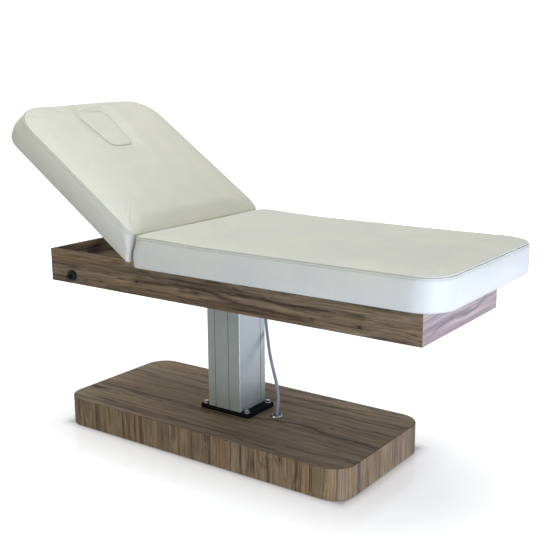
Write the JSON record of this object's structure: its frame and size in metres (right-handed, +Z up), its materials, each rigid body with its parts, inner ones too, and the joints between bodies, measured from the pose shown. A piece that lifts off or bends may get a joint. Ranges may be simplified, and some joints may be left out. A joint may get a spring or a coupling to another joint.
{
  "type": "facial treatment bed",
  "caption": "Facial treatment bed: two-section padded mattress with a face-hole plug and raising backrest, on a wood-clad tray, a lifting column and a plinth base.",
  "frame": {"origin": "on the floor under the centre of the lifting column, which is also the centre of the plinth", "axes": "+X to the foot end along the length, +Y across to the side without the knob, +Z up"},
  "size_m": [1.8658, 0.76, 1.2614],
  "materials": {
    "walnut_laminate": "matt printed laminate with a walnut grain",
    "painted_steel": "semi-gloss dark powder coat",
    "black_flange": "satin black paint",
    "black_plastic": "moulded black plastic",
    "chrome": "bright chrome plate",
    "aluminium": "silver anodised extrusion",
    "leatherette": "cream leatherette over foam",
    "ply": "birch plywood",
    "acetal": "white acetal",
    "bright_steel": "turned steel",
    "cable_sheath": "grey PVC sheath",
    "foot_rubber": "black rubber"
  },
  "bodies": {
    "base": {"base_skirt": "walnut_laminate", "base_deck": "walnut_laminate", "base_rail_near": "painted_steel", "base_rail_far": "painted_steel", "mount_plate": "painted_steel", "levelling_foot_head_near": "foot_rubber", "levelling_foot_head_far": "foot_rubber", "levelling_foot_foot_near": "foot_rubber", "levelling_foot_foot_far": "foot_rubber", "power_unit": "black_plastic", "power_inlet": "black_plastic", "cable_grommet": "chrome", "column_flange": "black_flange", "flange_bolt_head_near": "chrome", "flange_bolt_head_far": "chrome", "flange_bolt_foot_near": "chrome", "flange_bolt_foot_far": "chrome", "column_outer": "aluminium", "glide_pad_head": "acetal", "glide_pad_foot": "acetal", "glide_pad_near": "acetal", "glide_pad_far": "acetal", "lift_motor": "black_plastic", "lift_cable": "cable_sheath"},
    "tray": {"column_inner": "aluminium", "push_tube": "bright_steel", "column_head_plate": "painted_steel", "tray_rail_near": "painted_steel", "tray_rail_far": "painted_steel", "seat_bearer_middle": "painted_steel", "seat_bearer_foot": "painted_steel", "side_panel_near": "walnut_laminate", "side_panel_far": "walnut_laminate", "head_panel": "walnut_laminate", "foot_panel": "walnut_laminate", "hinge_bracket_near": "painted_steel", "hinge_bracket_far": "painted_steel", "control_box": "black_plastic", "cable_gland": "black_plastic", "seat_board": "ply", "seat_cushion": "leatherette", "gas_spring_cylinder": "black_plastic", "gas_spring_gland": "bright_steel", "gas_spring_anchor": "painted_steel", "knob_bush": "black_plastic", "release_cable": "cable_sheath"},
    "screw": {"lead_screw": "bright_steel"},
    "backrest": {"backrest_cushion": "leatherette", "backrest_board": "ply", "backrest_arm_near": "painted_steel", "backrest_arm_far": "painted_steel", "torque_tube": "painted_steel", "backrest_lever": "painted_steel"},
    "spring_rod": {"gas_spring_rod": "chrome", "rod_clevis": "bright_steel", "clevis_pin": "bright_steel"},
    "knob": {"release_knob": "black_plastic", "knob_crank": "bright_steel"},
    "plug": {"face_plug": "leatherette"}
  },
  "joints": [
    {"name": "column_lift", "type": "slide", "parent": "base", "child": "tray", "axis": [0, 0, 1], "range_m": [0, 0.25]},
    {"name": "screw_turn", "type": "hinge", "parent": "base", "child": "screw", "pos_m": [0, 0, 0.4], "axis": [0, 0, 1], "range_deg": [0, 9001]},
    {"name": "backrest_raise", "type": "hinge", "parent": "tray", "child": "backrest", "pos_m": [-0.1786, 0, 0.695], "axis": [0, 1, 0], "range_deg": [-34.4, 30.6]},
    {"name": "spring_rod_slide", "type": "slide", "parent": "tray", "child": "spring_rod", "axis": [-1, 0, 0], "range_m": [-0.0462, 0.0412]},
    {"name": "release_turn", "type": "hinge", "parent": "tray", "child": "knob", "pos_m": [-0.577, -0.29, 0.618], "axis": [0, 1, 0], "range_deg": [0, 60]},
    {"name": "plug_lift_out", "type": "slide", "parent": "backrest", "child": "plug", "axis": [0.565, 0, 0.8251], "range_m": [0, 0.14]}
  ],
  "couplings": [
    {"joint": "screw_turn", "follows": "column_lift", "rad_per_m": 628.32},
    {"joint": "spring_rod_slide", "follows": "backrest_raise", "m_per_rad": 0.0765}
  ]
}
